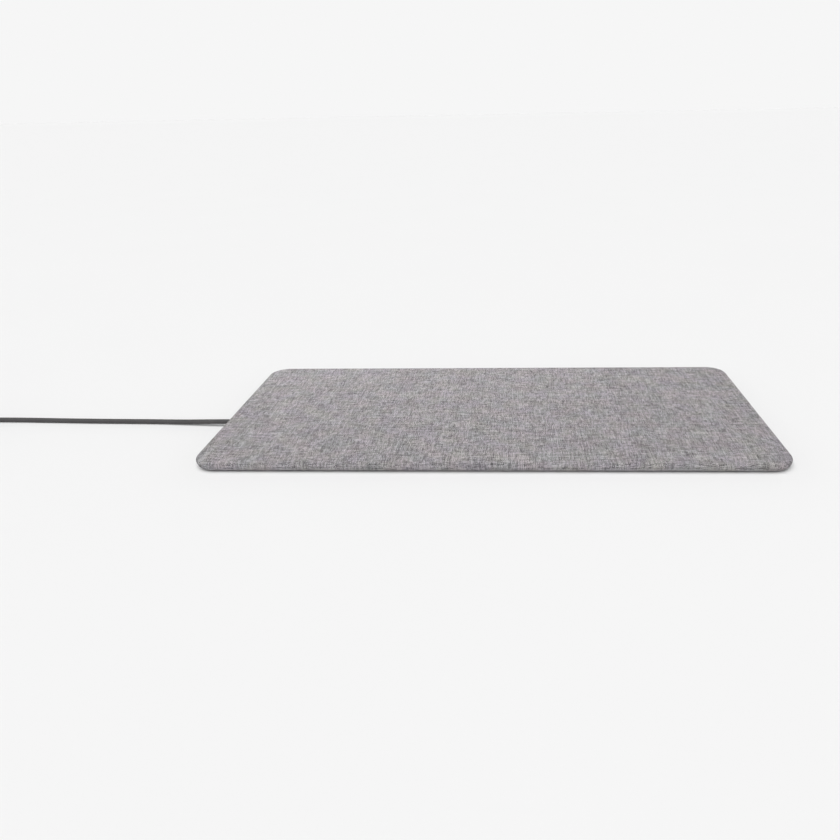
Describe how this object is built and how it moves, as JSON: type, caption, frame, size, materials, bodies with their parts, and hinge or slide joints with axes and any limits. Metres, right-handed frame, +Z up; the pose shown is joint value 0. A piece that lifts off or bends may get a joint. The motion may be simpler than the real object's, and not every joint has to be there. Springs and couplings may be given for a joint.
{
  "type": "wireless charging pad",
  "caption": "Thin rectangular charging mat covered in woven cloth, with rounded corners, a rounded edge, a non-slip base and a side-exit supply lead.",
  "frame": {"origin": "centre of the underside of the mat's footprint, on the surface that it stands on", "axes": "+X along the mat's long side, away from the supply lead; +Y towards the mat's back; +Z up, out of the charging face"},
  "size_m": [0.6699, 0.178, 0.0139],
  "materials": {
    "cover_cloth": "grey melange plain weave, matt",
    "soft_foam": "closed-cell foam",
    "shell_plastic": "fine spark texture",
    "base_silicone": "matt anti-slip silicone",
    "adhesive_film": "thin double-sided film",
    "screw_steel": "zinc plated",
    "wire_jacket": "insulated wire",
    "litz_copper": "enamelled litz wire",
    "ferrite_black": "sintered, matt",
    "spreader_aluminium": "rolled sheet",
    "clamp_steel": "stamped sheet",
    "board_green": "solder mask",
    "component_black": "moulded package",
    "capacitor_tan": "ceramic chip",
    "connector_white": "nylon",
    "cord_jacket": "smooth matt elastomer",
    "bushing_rubber": "moulded elastomer",
    "tie_strap": "hook-and-loop strap",
    "plug_grip": "moulded grip, fine texture",
    "plug_metal": "drawn steel sleeve",
    "plug_insert_black": "moulded insulator"
  },
  "bodies": {
    "root": {"base_adhesive": "adhesive_film", "base_mat": "base_silicone", "board_header": "connector_white", "board_resistors": "component_black", "board_screws": "screw_steel", "bushing_clamp": "clamp_steel", "clamp_screws": "screw_steel", "coil_centre": "litz_copper", "coil_leads_centre": "wire_jacket", "coil_leads_left": "wire_jacket", "coil_leads_right": "wire_jacket", "coil_left": "litz_copper", "coil_right": "litz_copper", "coil_tape_centre": "adhesive_film", "coil_tape_left": "adhesive_film", "coil_tape_right": "adhesive_film", "control_chip": "component_black", "cord_bushing": "bushing_rubber", "cord_coil": "cord_jacket", "cord_lead": "cord_jacket", "cord_tail": "cord_jacket", "cord_tie": "tie_strap", "driver_chips": "component_black", "fabric_cover": "cover_cloth", "ferrite_centre": "ferrite_black", "ferrite_left": "ferrite_black", "ferrite_right": "ferrite_black", "filter_capacitors": "capacitor_tan", "foam_adhesive": "adhesive_film", "foam_layer": "soft_foam", "heat_spreader": "spreader_aluminium", "housing_screws": "screw_steel", "lead_connector": "connector_white", "lead_wires": "wire_jacket", "lower_housing": "shell_plastic", "main_board": "board_green", "plug_body": "plug_grip", "plug_insert": "plug_insert_black", "plug_relief": "plug_grip", "plug_shell": "plug_metal", "power_inductor": "component_black", "resonant_capacitors": "capacitor_tan", "temperature_sensors": "component_black", "upper_housing": "shell_plastic"}
  },
  "joints": []
}
